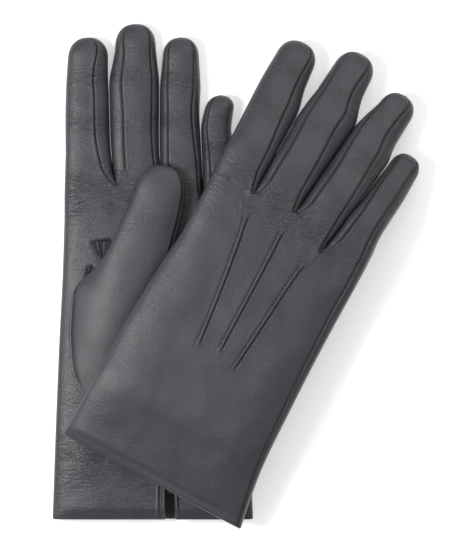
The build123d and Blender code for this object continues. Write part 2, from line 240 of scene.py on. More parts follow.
# Name, width, length, droop in degrees, contact with each neighbour, seams.
LEFT_FINGERS = [
    ("index", 23.5, 64.0, 0.0, (30, 50), (None, (5.5, 7.2, 7.2, 7.0, 3.0))),
    ("middle", 23.5, 71.0, 0.0, (50, 50), ((6.5, 6.8, 6.4, 5.2, 2.2), (2.8, 3.3, 3.3, 3.0, 1.6))),
    ("ring", 21.0, 64.0, 0.0, (50, 32), ((4.0, 4.2, 4.0, 3.2, 1.6), (2.2, 3.4, 3.7, 2.9, 1.5))),
    ("little", 16.0, 48.0, 0.0, (42, 36), ((4.2, 4.0, 3.2, 2.4, 1.4), (4.0, 4.0, 4.0, 3.8, 2.5))),
]
RIGHT_FINGERS = [
    ("index", 23.5, 64.0, 19.0, (-4, 35), (None, (3.6, 4.8, 6.4, 4.6, 2.6))),
    ("middle", 23.5, 71.0, 17.0, (35, 45), ((4.2, 4.4, 3.6, 2.4, 1.4), (3.6, 5.4, 7.4, 6.2, 2.8))),
    ("ring", 21.0, 64.0, 19.0, (45, 36), ((4.2, 4.2, 3.0, 1.6, 1.0), (3.6, 5.0, 6.8, 6.6, 3.8))),
    ("little", 18.0, 48.0, 25.0, (36, -4), ((4.2, 4.2, 3.2, 2.2, 1.2), (4.4, 4.4, 4.2, 3.8, 2.2))),
]


def make_gloves():
    left = Glove(
        "left",
        sides=(
            [
                (0, -52), (45, -50.4), (93, -48.4), (125, -46.8), (160, -45.8), (186, -45.4), (215, -45.6),
                (238, -45.2),
            ],
            [(0, 52), (45, 50.2), (93, 48.2), (140, 46), (160, 44.8), (186, 43.0), (203, 39.8), (211, 38.4)],
        ),
        valleys=(
            [(0, -24), (90, -19), (171, -18.6), (178, -20.4), (186, -21.4), (215, -22.6), (238, -23.2)],
            [(0, 2), (90, 3.4), (172, 4.8), (178, 4.2), (186, 3.6), (215, 3.4), (238, 3.6)],
            [(0, 29), (90, 26.6), (160, 26.4), (166, 25.9), (186, 25.4), (205, 24.4), (217, 24.0)],
        ),
        crotches=((-18.6, 171.4), (4.8, 171.0), (26.4, 160.0)),
        fingers=LEFT_FINGERS,
        cut_back=3.0,
        cuff_line=(-1.9, 0.0),
    )
    right = Glove(
        "right",
        sides=(
            [
                (0, -52), (46, -48.5), (79, -46), (107, -42.6), (122, -40.2), (140, -39.2), (160, -38.6),
                (182, -38), (205, -38),
            ],
            [(0, 52), (30, 48.8), (64, 49.2), (105, 50.8), (146, 53.4), (172, 54.2), (182, 54.8), (205, 57)],
        ),
        valleys=(
            [(0, -24), (90, -18), (157, -14.8), (168, -14), (182, -13), (210, -11)],
            [(0, 2), (90, 4.6), (157, 8.6), (168, 10.6), (182, 12.9), (216, 18.4)],
            [(0, 28), (90, 26), (145, 29.4), (160, 32.8), (182, 37.2), (206, 42.3)],
        ),
        crotches=((-14.8, 157.0), (8.6, 157.0), (29.2, 144.0)),
        fingers=RIGHT_FINGERS,
        cut_back=12.0,
        cuff_line=(0.0, -0.056),
    )
    return {"left": left, "right": right}


GLOVES = make_gloves()


# Columns across one finger: a strip at the index side, the panel, and a strip at the little finger side.
STRIP_STEPS = 11
PANEL_STEPS = 14
COLUMN_STEPS = 2 * STRIP_STEPS + PANEL_STEPS
SPLIT_SHARE = 0.88  # share of the hand's rows that lie below the crotches


def columns(low, high, inset_low, inset_high):
    """Positions of one finger's columns between its two edges, close together at edges and seams."""
    strip, panel = ((1 - np.cos(np.linspace(0, np.pi, n + 1))) / 2 for n in (STRIP_STEPS, PANEL_STEPS))
    low, high = np.asarray(low)[..., None], np.asarray(high)[..., None]
    inset_low, inset_high = np.asarray(inset_low)[..., None], np.asarray(inset_high)[..., None]
    first = low + inset_low * strip
    middle = low + inset_low + (high - low - inset_low - inset_high) * panel
    last = high - inset_high * (1 - strip)
    return np.concatenate([first, middle[..., 1:], last[..., 1:]], -1)


def section_push(across, height, push):
    """Moves the points of each row's outline outwards, square to the outline, by push."""
    da = np.gradient(across, axis=-1)
    dh = np.gradient(height, axis=-1)
    size = np.hypot(da, dh) + 1e-9
    return across - dh / size * push, height + da / size * push


def grid_mesh(bm, points):
    """Fills a bmesh with a grid that lies on an array of points, rows by columns, in metres."""
    rows, cols = points.shape[:2]
    layers(bm)
    made = bmesh.ops.create_grid(bm, x_segments=cols - 1, y_segments=rows - 1, size=1.0)
    for vert, place in zip(made["verts"], points.reshape(-1, 3)):
        vert.co = place
    return made["verts"]


def close_up(bm, reverse=False):
    """Joins the edges of a rolled-up grid, and turns its faces over if they point inwards."""
    bmesh.ops.remove_doubles(bm, verts=bm.verts[:], dist=MERGE)
    if reverse:
        bmesh.ops.reverse_faces(bm, faces=bm.faces[:])


def add_piece(name, bm, material):
    """Turns a bmesh into an object with smooth faces that point outwards."""
    mesh = bpy.data.meshes.new(name)
    bm.to_mesh(mesh)
    bm.free()
    mesh.polygons.foreach_set("use_smooth", [True] * len(mesh.polygons))
    piece = bpy.data.objects.new(name, mesh)
    bpy.context.collection.objects.link(piece)
    mesh.materials.append(bpy.data.materials[material])
    return piece


def hand_piece(glove, name, node, bm, material):
    """Adds a piece that moves with the hand, in place of one node."""
    piece = add_piece(f"{glove.side}_{name}", bm, material)
    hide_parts(f"{glove.side}_{node}")
    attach(piece, f"{glove.side}_hand")


def layers(bm):
    """The two point layers that the leather's material reads: place in the flat glove, and the marks that
    darken its colour at seams (partly dark joints, partly painted shade) and in creases (painted shade).
    """
    flat = bm.verts.layers.float_vector.get("flat") or bm.verts.layers.float_vector.new("flat")
    wear = bm.verts.layers.float_vector.get("wear") or bm.verts.layers.float_vector.new("wear")
    return flat, wear


def store(bm, verts, flat_points, seam_crease_shade_values):
    """Writes the flat place, in metres, and the seam and crease marks of a grid's points, which darken the
    leather's colour partly as dark joints and partly as painted shade.
    """
    flat, wear = layers(bm)
    for vert, place, value in zip(verts, flat_points.reshape(-1, 3), seam_crease_shade_values.reshape(-1, 3)):
        vert[flat] = place
        vert[wear] = value


def blend_finger(piece):
    """Bakes a finger piece's placement into its mesh."""
    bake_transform(piece)


# The hand.


def hand_insets(glove, i, y=None):
    """Width of the two strips of columns at the edges of finger column i. They end at its seams."""
    seams = glove.fingers[i].seams
    low = PLAIN_STRIP if seams[0] is None else seams[0][0]
    high = seams[1][0]
    if i == 3 and y is not None:
        high = 2.5 + (high - 2.5) * smoothstep(0.0, 130.0, y)
    return low, high


def crotch_distance(glove, k, gap, y, inset, cut):
    """Distance to the seam round the crotch on line k, at gap from that line. It is positive on the panel."""
    crotch = glove.crotches[k - 1][1]
    reach = cut - crotch
    value = inset * inset * (y - crotch) / reach - gap * gap
    slope = np.hypot(2 * gap, inset * inset / reach)
    return -value / np.maximum(slope, 0.5)


def hand_relief(glove, i, x, y, face):
    """Relief of the hand's leather over finger column i."""
    low, high = glove.line(i, y), glove.line(i + 1, y)
    cut = glove.cut(i)
    insets = hand_insets(glove, i)
    relief = np.zeros_like(x)
    wear = np.zeros(x.shape + (3,))
    seams = []
    if i > 0:
        seams.append(crotch_distance(glove, i, x - low, y, insets[0], cut))
    if i < 3:
        seams.append(crotch_distance(glove, i + 1, high - x, y, insets[1], cut))
    elif (face > 0) != glove.palm_up:
        seams.append(high - x - hand_insets(glove, i, y)[1])
    for gone in seams:
        relief = relief + seam_relief(gone)
        # The seam darkens the colour: partly the dark joint itself, partly painted shade in the groove.
        wear[..., 0] = np.maximum(wear[..., 0], bell(gone, SEAM_SPREAD))
    # Where creases are bumped and darkened with painted shade.
    wear[..., 1] = knuckle_mask(glove, x, y)
    if (face > 0) == glove.palm_up:
        for corners, deep in QUIRK_POCKETS:
            inside = pocket_depth(corners, x, y)
            relief = relief - deep * smoothstep(-0.2, 1.3, inside) + 0.2 * bell(inside + 0.7, 0.6)
            # Painted shade darkens the inside of each pocket.
            wear[..., 0] = np.maximum(wear[..., 0], smoothstep(-0.5, 0.4, inside))
    if face > 0 and not glove.palm_up:
        for shift, depth in ((0.0, 0.42), (4.4, 0.2), (-5.2, 0.16)):
            away = y - crease_line(x + 3 * shift) - shift
            fold = depth * bell(away, 1.3) * smoothstep(44, 26, np.abs(x + 4))
            relief = relief - fold * (0.6 + 0.4 * np.sin(x / 5.0 + shift))
    return relief, wear


# The two pockets beside the thumb where its quirk shows: their corners and their depth.
QUIRK_POCKETS = (
    (((-31.8, 142.3), (-20.5, 143.4), (-26.4, 131.4)), 2.6),
    (((-33.6, 131.0), (-28.4, 127.0), (-34.8, 121.5)), 1.9),
)


def pocket_depth(corners, x, y):
    """Distance inwards from the rim of a three-sided pocket."""
    depth = np.full(np.shape(x), 99.0)
    middle = np.mean(corners, 0)
    for a, b in zip(corners, corners[1:] + corners[:1]):
        normal = np.array((a[1] - b[1], b[0] - a[0])) / math.dist(a, b)
        normal = normal * np.sign(normal @ (middle - a))
        depth = np.minimum(depth, (x - a[0]) * normal[0] + (y - a[1]) * normal[1])
    return depth


def knuckle_mask(glove, x, y):
    """Where leather is finely creased, which the leather's material bumps and darkens with painted shade:
    over the knuckles, and a little at the wrist.
    """
    knuckle = crease_line(x) if not glove.palm_up else 166.0
    wrist = 0.7 * bell(y - 30.0, 13.0) * smoothstep(20.0, -40.0, x) if glove.palm_up else 0.0
    return np.clip(bell(y - knuckle, 10.0) + wrist + (0.26 if glove.palm_up else 0.14), 0, 1)


def crease_line(x):
    """Where the back of the right glove has folded over the knuckles."""
    return 155.5 - 0.13 * (x + 8) + 2.2 * np.sin(x / 9.0)


def hand_rows(glove, i, start, shares):
    """Places of finger column i's rows. Neighbours share them up to the crotch between, and part above it."""
    crotches = [place[1] for place in glove.crotches]
    split = np.linspace(crotches[max(i - 1, 0)], crotches[min(i, 2)], COLUMN_STEPS + 1)
    below = (split - start) * np.minimum(shares / SPLIT_SHARE, 1)[:, None]
    above = (glove.cut(i) - split) * np.maximum((shares - SPLIT_SHARE) / (1 - SPLIT_SHARE), 0)[:, None]
    return start + below + above


def hand_sheet(glove, face, shares, inset=0.0, relief=True):
    """One side of the hand as rows and columns of plan places and heights, finger after finger."""
    parts = []
    for i in range(4):
        y = hand_rows(glove, i, HEM_EDGE if relief else LINING_START, shares)
        low, high = glove.line(i, y), glove.line(i + 1, y)
        insets = hand_insets(glove, i, y)
        insets = [np.minimum(inset_width, (high - low) * 0.45) for inset_width in insets]
        x = np.diagonal(columns(low, high, *insets), 0, 1, 2)
        h = glove.half_height(i, x, y, face)
        bump, wear = hand_relief(glove, i, x, y, face)
        push = (bump + glove.ripple(x, y, face) * smoothstep(0.6, 3.0, h) if relief else 0 * bump) - inset
        x2, h2 = section_push(x, h * face, push * face)
        for side, column in ((0, 0), (1, -1)):
            deep = glove.fade(i + side, y[:, column])
            x2[:, column] = x[:, column] + (1 - 2 * side) * inset * deep
            h2[:, column] = (h + push)[:, column] * face * (1 - deep)
        parts.append((x2, y, h2, wear))
    return [np.concatenate(values, 1) for values in zip(*parts)]


def hand_shares(count):
    """Rows of the hand from the cuff to the fingers, closer together at both ends."""
    t = np.linspace(0, 1, count)
    return t - 0.06 * np.sin(2 * np.pi * t)


def hand_loop(glove, count, inset=0.0, relief=True):
    """The whole hand as a loop of columns: its upper side, then its lower side back again."""
    shares = hand_shares(count)
    upper = hand_sheet(glove, 1, shares, inset, relief)
    lower = hand_sheet(glove, -1, shares, inset, relief)
    return [np.concatenate([a, b[:, ::-1][:, 1:]], 1) for a, b in zip(upper, lower)]


def fill_hand(bm, glove, x, y, height, wear, reverse=True):
    """Fills a bmesh with a closed grid of the hand and its point layers."""
    verts = grid_mesh(bm, glove.world(x, y, height))
    store(bm, verts, np.stack([x, y, height], -1) * MM, wear)
    close_up(bm, reverse)


def vent_place(y):
    """Half the width of the slit at y, and the slit's middle."""
    y = np.clip(y, 0, 53.9)
    return 2.3 * (1 - y / 54.0) ** 0.7, 9.2 - 0.012 * y


def cut_slit(bm, glove, depth, lean=1.0):
    """Opens the vent in the palm's leather, as far as the faces that lie more than depth below the palm."""
    flat, _ = layers(bm)
    palm = 1 if glove.palm_up else -1
    slit = []
    for face in bm.faces:
        place = sum((v[flat] for v in face.verts), Vector()) / len(face.verts) / MM
        away = abs(place.x - vent_place(place.y * lean)[1])
        if place.y < 53 and place.z * palm > depth and away < vent_place(place.y)[0] + 0.5:
            slit.append(face)
    bmesh.ops.delete(bm, geom=slit, context="FACES")


def build_hand(glove):
    bm = bmesh.new()
    fill_hand(bm, glove, *hand_loop(glove, 200))
    cut_slit(bm, glove, 1.5)
    hand_piece(glove, "hand_leather", "hand_shell", bm, "nappa_leather")


def cuff_outline(glove, y, inset, face):
    """The edge of one side of the cuff at inset below its surface, as places across, along and up."""
    at = np.array([max(y, HEM_EDGE)])
    parts = []
    for i in range(4):
        across = columns(glove.line(i, at), glove.line(i + 1, at), *hand_insets(glove, i, at))
        tall = glove.half_height(i, across, np.full_like(across, at[0]), face)
        parts.append(np.stack([across, tall * face], -1)[0, : None if i == 3 else -1])
    across, height = np.concatenate(parts).T
    relief, _ = hand_relief(glove, 3, across, np.full(len(across), at[0]), face)
    push = np.where(across > 30, relief, 0) - inset
    x, h = section_push(across, height, push * face)
    x[0], x[-1] = across[0] + inset, across[-1] - inset
    h[0] = h[-1] = 0
    return np.stack([x, np.full(len(x), y), h], -1)


def build_cuff_hem(glove):
    """The rolled edge of the cuff and the leather turned in behind it."""
    steps = np.linspace(0, np.pi, 9)
    rows = [(HEM_EDGE - HEM_EDGE * math.sin(a), HEM_EDGE - HEM_EDGE * math.cos(a)) for a in steps]
    rows += [(y, 2 * HEM_EDGE) for y in (3.0, 5.5, 8.0, 10.5, 13.0, 14.0)]
    loops = []
    for y, inset in rows:
        upper, lower = (cuff_outline(glove, y, inset, face) for face in (1, -1))
        loops.append(np.concatenate([upper, lower[::-1][1:]]))
    points = np.array(loops)
    bm = bmesh.new()
    fill_hand(bm, glove, *np.moveaxis(points, -1, 0), np.zeros(points.shape), reverse=False)
    cut_slit(bm, glove, 1.0, lean=0.0)
    hand_piece(glove, "cuff_hem_roll", "cuff_hem", bm, "nappa_leather")


def build_hand_lining(glove):
    bm = bmesh.new()
    fill_hand(bm, glove, *hand_loop(glove, 40, inset=LINING_INSET, relief=False))
    hand_piece(glove, "hand_knit", "hand_lining", bm, "knitted_lining")


# The fingers.


def finger_rows(glove, finger):
    """Distances from the hinge for the rows of a stall, closer together at the rounded tip."""
    round_off = 0.46 * finger.width
    straight = np.linspace(-glove.cut_back, finger.length - round_off, 118)
    tip = finger.length - round_off + round_off * np.sin(np.linspace(0, np.pi / 2, 26))[1:]
    return np.concatenate([straight, tip]), round_off


def finger_edge(glove, i, side, s):
    """The side of a stall, across from its axis. It leans on its neighbour, then has its own width."""
    finger = glove.fingers[i]
    ahead = np.where(s > 0, s * math.cos(finger.droop), s)
    lean = finger.plan_ahead[0] / finger.plan_ahead[1]
    y = finger.root[1] + ahead * np.where(s > 0, finger.plan_ahead[1], 1.0)
    axis = finger.root[0] + (y - finger.root[1]) * lean
    stops = glove.lines[i + side]
    shared = glove.line(i + side, np.minimum(y, stops[-1][0])) - axis
    own = (2 * side - 1) * finger.width / 2
    part = smoothstep(finger.touch[side] - 12.0, finger.touch[side] + 9.0, s)
    slack = (1 - 2 * side) * 0.12 * smoothstep(-2.0, 4.0, s)
    return shared * (1 - part) + own * part + slack


def sewn_sides(glove, finger, face):
    """The sides of a stall with a seam on this face. The little finger's outer side has one on the back."""
    on_back = (face > 0) != glove.palm_up
    plain = finger.name == "little" and not on_back
    return [side for side, seam in enumerate(finger.seams) if seam and not (side == 1 and plain)]


def finger_half(glove, i, face, inset=0.0, relief=True):
    """Upper or lower half of a stall: rows and columns of places across, along and up."""
    finger = glove.fingers[i]
    s, round_off = finger_rows(glove, finger)
    y = finger.root[1] + s
    own = smoothstep(-glove.cut_back + 0.5, max(2.0, 14.0 - glove.cut_back), s)
    lean = finger.plan_ahead[0] / finger.plan_ahead[1]
    axis = finger.root[0] + np.minimum(s, 0) * lean
    share = (s + glove.cut_back) / (finger.length + glove.cut_back)
    t = np.clip((s - (finger.length - round_off)) / round_off, 0, 1)
    closing = (1 - t**2.3) ** (1 / 2.3) * (1 - 0.13 * smoothstep(0.55, 1.0, share))
    low_edge = finger_edge(glove, i, 0, s) * closing
    high_edge = finger_edge(glove, i, 1, s) * closing
    insets = []
    for seam in finger.seams:
        stops = (PLAIN_STRIP, PLAIN_STRIP) if seam is None else seam
        insets.append(np.minimum(evenly(stops, share), (high_edge - low_edge) * 0.42))
    c = columns(low_edge, high_edge, insets[0], insets[1])
    span = (high_edge - low_edge)[:, None]
    u = np.clip(2 * (c - low_edge[:, None]) / np.maximum(span, 1e-6) - 1, -1, 1)
    power = (3.2 - 0.8 * smoothstep(-glove.cut_back, 22.0, s))[:, None]
    crown = (1 - np.abs(u) ** power) ** (1 / power)
    thick = (HAND_HALF - 0.7 * smoothstep(0.3, 0.9, share)) * (1 - t**2.2) ** (1 / 2.2)
    h = thick[:, None] * crown
    bump = np.zeros_like(h)
    wear = np.zeros(h.shape + (3,))
    calm = (1 - smoothstep(0.5, 1.0, t))[:, None]
    for side in sewn_sides(glove, finger, face):
        edge = (c - low_edge[:, None]) if side == 0 else (high_edge[:, None] - c)
        gone = edge - insets[side][:, None]
        bump += seam_relief(gone) * calm
        # The seam darkens the colour: partly the dark joint, partly painted shade.
        wear[..., 0] = np.maximum(wear[..., 0], bell(gone, SEAM_SPREAD))
    flat_x = axis[:, None] + c
    flat_y = y[:, None] + 0 * c
    # Creases at the finger joints, bumped and darkened with painted shade.
    for joint_at, strength in ((20.0, 0.9), (43.0, 0.8)):
        wear[..., 1] = np.maximum(wear[..., 1], strength * bell(s[:, None] - joint_at, 7.0))
    wear[..., 1] = np.maximum(wear[..., 1], knuckle_mask(glove, flat_x, flat_y))
    ripple = glove.ripple(flat_x, flat_y, face) * smoothstep(0.6, 3.0, h)
    push = (bump + ripple if relief else 0 * bump) - inset
    c2, h2 = section_push(c, h * face, push * face)
    c2[:, 0], c2[:, -1] = c[:, 0] + inset * closing, c[:, -1] - inset * closing
    h2[:, 0] = h2[:, -1] = 0
    return s, own, axis, c2, h2, flat_y, wear


def finger_world(glove, i, s, own, axis, c, h):
    """Places in metres of the points of a stall."""
    finger = glove.fingers[i]
    ahead, up = finger.bend(s[:, None] + 0 * c, h)
    out = []
    for k in range(2):
        base = (glove.across[k], glove.along[k])
        hand = glove.cuff[k] + base[0] * (axis[:, None] + c) + base[1] * (finger.root[1] + ahead)
        stall = finger.hinge[k] + finger.ahead[k] * ahead + finger.across[k] * c
        out.append(hand * (1 - own[:, None]) + stall * own[:, None])
    out.append(finger.hinge[2] + up)
    return np.stack(out, -1) * MM


def finger_loop(glove, i, inset=0.0, relief=True):
    """A stall as rows of closed outlines in metres, with its flat places and the marks that darken its colour
    at seams and creases, partly as dark joints and partly as painted shade.
    """
    upper = finger_half(glove, i, 1, inset, relief)
    lower = finger_half(glove, i, -1, inset, relief)
    s, own, axis = upper[:3]
    c, h, flat_y, wear = (np.concatenate([a, b[:, ::-1][:, 1:]], 1) for a, b in zip(upper[3:], lower[3:]))
    flat = np.stack([axis[:, None] + c, flat_y, h], -1) * MM
    return finger_world(glove, i, s, own, axis, c, h), flat, wear


def build_finger(glove, i):
    """The panels and the fourchettes of one stall, cut from one form so that they meet at the seams."""
    finger = glove.fingers[i]
    points, flat_points, wear = finger_loop(glove, i)
    cols = points.shape[1]
    bm = bmesh.new()
    strip = bm.faces.layers.int.new("strip")
    verts = grid_mesh(bm, points)
    store(bm, verts, flat_points, wear)
    bm.faces.ensure_lookup_table()
    for n, face in enumerate(bm.faces):
        column = n % (cols - 1)
        column = column if column < COLUMN_STEPS else 2 * COLUMN_STEPS - 1 - column
        low_side, high_side = column < STRIP_STEPS, column >= COLUMN_STEPS - STRIP_STEPS
        face[strip] = (low_side and finger.name != "index") or (high_side and finger.name != "little")
    close_up(bm, reverse=True)
    other = bm.copy()
    for made, wanted, name, node in (
        (bm, 0, "panel_leather", "panels"),
        (other, 1, "fourchette_leather", "fourchettes"),
    ):
        key = made.faces.layers.int.get("strip")
        drop = [f for f in made.faces if f[key] != wanted]
        bmesh.ops.delete(made, geom=drop, context="FACES")
        piece = add_piece(f"{glove.side}_{finger.name}_{name}", made, "nappa_leather")
        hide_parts(f"{glove.side}_{finger.name}_{node}")
        blend_finger(piece)


def build_finger_lining(glove, i):
    finger = glove.fingers[i]
    points, _, _ = finger_loop(glove, i, inset=LINING_INSET, relief=False)
    rows = [*range(0, len(points), 5), len(points) - 1]
    bm = bmesh.new()
    grid_mesh(bm, points[rows][:, ::2])
    close_up(bm, reverse=True)
    piece = add_piece(f"{glove.side}_{finger.name}_knit", bm, "knitted_lining")
    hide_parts(f"{glove.side}_{finger.name}_lining")
    blend_finger(piece)


# Thread.


def sew(bm, path, up, pitch=None, width=None):
    """Lays one stitch after another along a path of points in metres, flattened towards the leather below."""
    pitch = pitch or seam_settings().stitch_pitch
    width = width or seam_settings().thread_width
    path = [Vector(p) for p in path]
    lengths = [0.0]
    for a, b in zip(path, path[1:]):
        lengths.append(lengths[-1] + (b - a).length)
    count = max(int(lengths[-1] / pitch), 1)
    for n in range(count):
        at = (n + 0.5) * lengths[-1] / count
        k = min(max(np.searchsorted(lengths, at) - 1, 0), len(path) - 2)
        part = (at - lengths[k]) / max(lengths[k + 1] - lengths[k], 1e-9)
        place = path[k].lerp(path[k + 1], part)
        along = (path[k + 1] - path[k]).normalized()
        normal = Vector(up[k]).normalized()
        side = along.cross(normal).normalized()
        normal = side.cross(along)
        turn = Matrix((along, side, normal)).transposed().to_4x4()
        size = Matrix.Diagonal((pitch * 0.36, width / 2, width * 0.45, 1.0))
        lie = Matrix.Translation(place) @ turn @ size
        bmesh.ops.create_icosphere(bm, subdivisions=1, radius=1.0, matrix=lie)


def build_finger_threads(glove, i):
    finger = glove.fingers[i]
    points, _, _ = finger_loop(glove, i)
    middle = points.mean(1, keepdims=True)
    bm = bmesh.new()
    last = len(points) - 14
    outer = -3 if finger.name == "little" else -1
    # The columns next to the seams, on the panel.
    beside = (STRIP_STEPS + 1, COLUMN_STEPS - STRIP_STEPS + outer)
    for side in (0, 1):
        for face in (1, -1):
            if side not in sewn_sides(glove, finger, face):
                continue
            column = beside[side] if face > 0 else 2 * COLUMN_STEPS - beside[side]
            path = points[:last, column]
            up = path - middle[:last, 0]
            up /= np.linalg.norm(up, axis=1, keepdims=True)
            sew(bm, path + up * 0.05 * MM, up)
    piece = add_piece(f"{glove.side}_{finger.name}_threads", bm, "sewing_thread")
    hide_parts(f"{glove.side}_{finger.name}_seams")
    blend_finger(piece)


def build_side_seam(glove):
    """Thread of the lapped side seam, and of the seams round the crotches between fingers."""
    bm = bmesh.new()
    back = -1 if glove.palm_up else 1
    y = np.linspace(2.0, glove.cut(3), 160)
    x = glove.line(4, y) - hand_insets(glove, 3, y)[1] - 0.9
    lay_on_hand(bm, glove, x, y, back, lift=0.02)
    for k in (1, 2, 3):
        crotch = glove.crotches[k - 1][1]
        for face in (1, -1):
            for i, sign in ((k - 1, -1), (k, 1)):
                inset = hand_insets(glove, i)[1 if sign < 0 else 0]
                reach = glove.cut(i) - crotch
                t = np.linspace(0.02, 1, 24) ** 2
                y = crotch + reach * t
                x = glove.line(k, y) + sign * (inset * np.sqrt(t) + 0.7)
                lay_on_hand(bm, glove, x, y - 0.5, face, lift=-0.05)
    hand_piece(glove, "hand_threads", "side_seam", bm, "sewing_thread")


def lay_on_hand(bm, glove, x, y, face, lift, **sizes):
    """Sews along a line in the plan of the hand, at lift above its leather."""
    height = glove.height_at(x, y, face)
    height = (height + glove.ripple(np.asarray(x, float), np.asarray(y, float), face) + lift) * face
    path = glove.world(x, y, height)
    sew(bm, path, [(0, 0, face)] * len(path), **sizes)


# The points on the back.

POINT_LINES = (
    ((-14.1, 147), (-11.8, 128), (-9.7, 100), (-8.3, 72)),
    ((6.2, 148), (5.6, 128), (4.2, 100), (2.7, 73)),
    ((23.3, 136), (20.2, 118), (16.4, 92), (12.8, 68)),
)
POINT_GAP = 3.1  # between the two rows of a point
POINT_REACH = 3.6  # half the width of the strip of leather that a point is made of


def point_path(line, count):
    t = np.linspace(0, 1, count)
    return evenly([p[0] for p in line], t), evenly([p[1] for p in line], t), t


def point_spread(t):
    """Half the distance between the two rows of a point: narrower below, and spread a little at both ends."""
    return POINT_GAP / 2 * (1 - 0.12 * t) + 0.4 * bell(t, 0.07) + 0.3 * bell(1 - t, 0.05)


def build_points(glove):
    """The three points: a ridge between two sewn rows. They are pressed flat where the glove lies on them."""
    back = -1 if glove.palm_up else 1
    bm = bmesh.new()
    offsets = np.linspace(-POINT_REACH, POINT_REACH, 41)[None]
    for line in POINT_LINES:
        x0, y0, t = point_path(line, 130)
        half = point_spread(t)[:, None]
        x = x0[:, None] + offsets
        y = y0[:, None] + 0 * x
        ends = (smoothstep(0.02, 0.09, t) * smoothstep(0.02, 0.09, 1 - t))[:, None]
        tucked = (smoothstep(0, 0.02, t) * smoothstep(0, 0.02, 1 - t))[:, None]
        rows = bell(np.abs(offsets) - half, 0.34)
        ridge = np.exp(-((offsets / (half * 0.72)) ** 4))
        rim = smoothstep(0, 1.3, POINT_REACH - np.abs(offsets)) * tucked
        raised = 0.0 if glove.palm_up else 1.05 * ridge
        relief = (0.03 + (raised - 0.5 * rows) * ends) * rim - 0.05 * (1 - rim)
        height = (glove.height_at(x, y, back) + glove.ripple(x, y, back) + relief) * back
        verts = grid_mesh(bm, glove.world(x, y, height))
        wear = np.zeros(x.shape + (3,))
        # The sewn rows darken the colour: partly dark stitching, partly painted shade in the grooves.
        wear[..., 0] = rows * ends
        wear[..., 1] = knuckle_mask(glove, x, y)
        store(bm, verts, np.stack([x, y, height], -1) * MM, wear)
    if back > 0:
        bmesh.ops.reverse_faces(bm, faces=bm.faces[:])
    hand_piece(glove, "back_point_ridges", "back_points", bm, "nappa_leather")


def build_point_threads(glove):
    back = -1 if glove.palm_up else 1
    bm = bmesh.new()
    for line in POINT_LINES:
        x0, y0, t = point_path(line, 90)
        for sign in (-1, 1):
            x = x0 + sign * point_spread(t)
            lay_on_hand(bm, glove, x, y0, back, lift=-0.1, pitch=0.0020, width=0.0006)
    hand_piece(glove, "point_threads", "point_stitches", bm, "sewing_thread")


# The wrist vent.


def build_vent(glove):
    """Two strips that edge the slit, each with raised lips and sewn grooves."""
    palm = 1 if glove.palm_up else -1
    bm = bmesh.new()
    across = np.linspace(0, 1, 26)[None]
    # Side, width, (place, height) of each ridge, (place, width) of each groove, from the slit outwards.
    for sign, wide, ridges, grooves in (
        (-1, 7.0, ((1.3, 0.75), (4.7, 0.55)), ((2.9, 0.42), (6.4, 0.4))),
        (1, 4.4, ((1.3, 0.8),), ((3.1, 0.6),)),
    ):
        y = np.linspace(0.3, 56, 90)[:, None]
        half, middle = vent_place(y)
        away = wide * (1 - 0.35 * smoothstep(30, 56, y)) * across
        x = middle + sign * (half + away)
        y = y + 0 * x
        lip = sum(high * bell(away - at, 1.0) for at, high in ridges)
        groove = sum(bell(away - at, narrow) for at, narrow in grooves)
        relief = 0.1 + lip - 0.75 * groove - 1.8 * bell(across, 0.05) - 0.6 * bell(1 - across, 0.06)
        height = (glove.height_at(x, y, palm) + glove.ripple(x, y, palm) + relief) * palm
        verts = grid_mesh(bm, glove.world(x, y, height))
        wear = np.zeros(x.shape + (3,))
        # The grooves darken the colour: partly dark seams, partly painted shade.
        wear[..., 0] = np.clip(groove, 0, 1)
        store(bm, verts, np.stack([x, y, height], -1) * MM, wear)
    bmesh.ops.recalc_face_normals(bm, faces=bm.faces[:])
    piece = add_piece(f"{glove.side}_vent_piping", bm, "nappa_leather")
    solid = piece.modifiers.new("Binding thickness", "SOLIDIFY")
    solid.thickness = 0.5 * MM
    solid.offset = -1
    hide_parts(f"{glove.side}_vent_bindings")
    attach(piece, f"{glove.side}_hand")


# The thumb.

# Along the thumb: x, y, half width on the index side and on the other, height of its middle, rise,
# sharpness of each side, depth below the middle.
THUMB_STOPS = (
    (-22.5, 52, 9, 9, 5.2, 0.2, 1.2, 1.2, 1.6),
    (-22.0, 60, 14.6, 15, 5.6, 1.2, 1.2, 1.2, 2.0),
    (-21.0, 72, 19.4, 19.5, 5.8, 3.4, 1.2, 1.0, 2.2),
    (-20.0, 86, 22.0, 21.6, 5.9, 5.6, 1.2, 0.9, 2.2),
    (-18.8, 100, 23.2, 22.4, 6.0, 7.4, 1.25, 0.75, 2.2),
    (-16.0, 112, 24.4, 21.6, 6.6, 7.8, 1.3, 0.64, 2.0),
    (-12.6, 122, 18.4, 19.4, 8.2, 6.9, 0.7, 0.54, 2.6),
    (-9.2, 131, 15.8, 17.6, 9.8, 5.5, 0.46, 0.46, 3.8),
    (-5.6, 141, 14.4, 16.8, 10.8, 4.7, 0.42, 0.42, 4.5),
    (-2.0, 151, 13.4, 15.8, 10.95, 4.6, 0.41, 0.41, 4.6),
    (1.6, 161, 12.8, 14.6, 10.95, 4.6, 0.41, 0.41, 4.6),
    (4.2, 169.5, 12.5, 13.4, 10.95, 4.6, 0.41, 0.41, 4.6),
    (7.2, 181.3, 12.2, 12.4, 10.95, 4.6, 0.41, 0.41, 4.6),
)


def thumb_turn(angle):
    """How far across the thumb a point of its outline is, from -1 to 1, for an angle round it."""
    u = -np.cos(angle)
    return np.sign(u) * np.abs(u) ** 0.85


